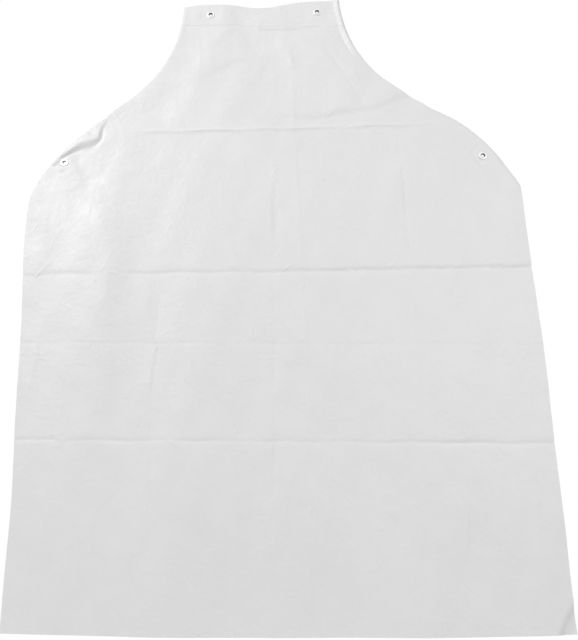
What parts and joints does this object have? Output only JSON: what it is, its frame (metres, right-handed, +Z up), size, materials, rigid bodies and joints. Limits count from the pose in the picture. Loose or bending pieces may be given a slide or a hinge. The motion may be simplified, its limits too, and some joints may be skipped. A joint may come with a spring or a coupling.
{
  "type": "butcher apron",
  "caption": "White vinyl bib apron for butchery: one die-cut sheet with a welded bib hem, waist reinforcing patches and metal strap eyelets; the bib folds down.",
  "frame": {"origin": "the middle of the waist line, between the two waist eyelets and halfway through the film", "axes": "+Z up towards the bib, -Y out of the front face that shows when worn, +X to the right as seen from the front"},
  "size_m": [0.889, 0.0048, 1.143],
  "materials": {
    "vinyl_film": "satin",
    "vinyl_back": "matte",
    "eyelet_metal": "nickel plated, polished"
  },
  "bodies": {
    "skirt": {"skirt_panel": "vinyl_film", "waist_patch_left": "vinyl_back", "waist_patch_right": "vinyl_back", "eyelet_waist_left": "eyelet_metal", "eyelet_waist_right": "eyelet_metal", "washer_waist_left": "eyelet_metal", "washer_waist_right": "eyelet_metal"},
    "bib": {"bib_panel": "vinyl_film", "bib_hem": "vinyl_back", "eyelet_bib_left": "eyelet_metal", "eyelet_bib_right": "eyelet_metal", "washer_bib_left": "eyelet_metal", "washer_bib_right": "eyelet_metal"}
  },
  "joints": [
    {"name": "bib_fold", "type": "hinge", "parent": "skirt", "child": "bib", "pos_m": [0, 0, 0.066], "axis": [1, 0, 0], "range_deg": [-165, 165]}
  ]
}
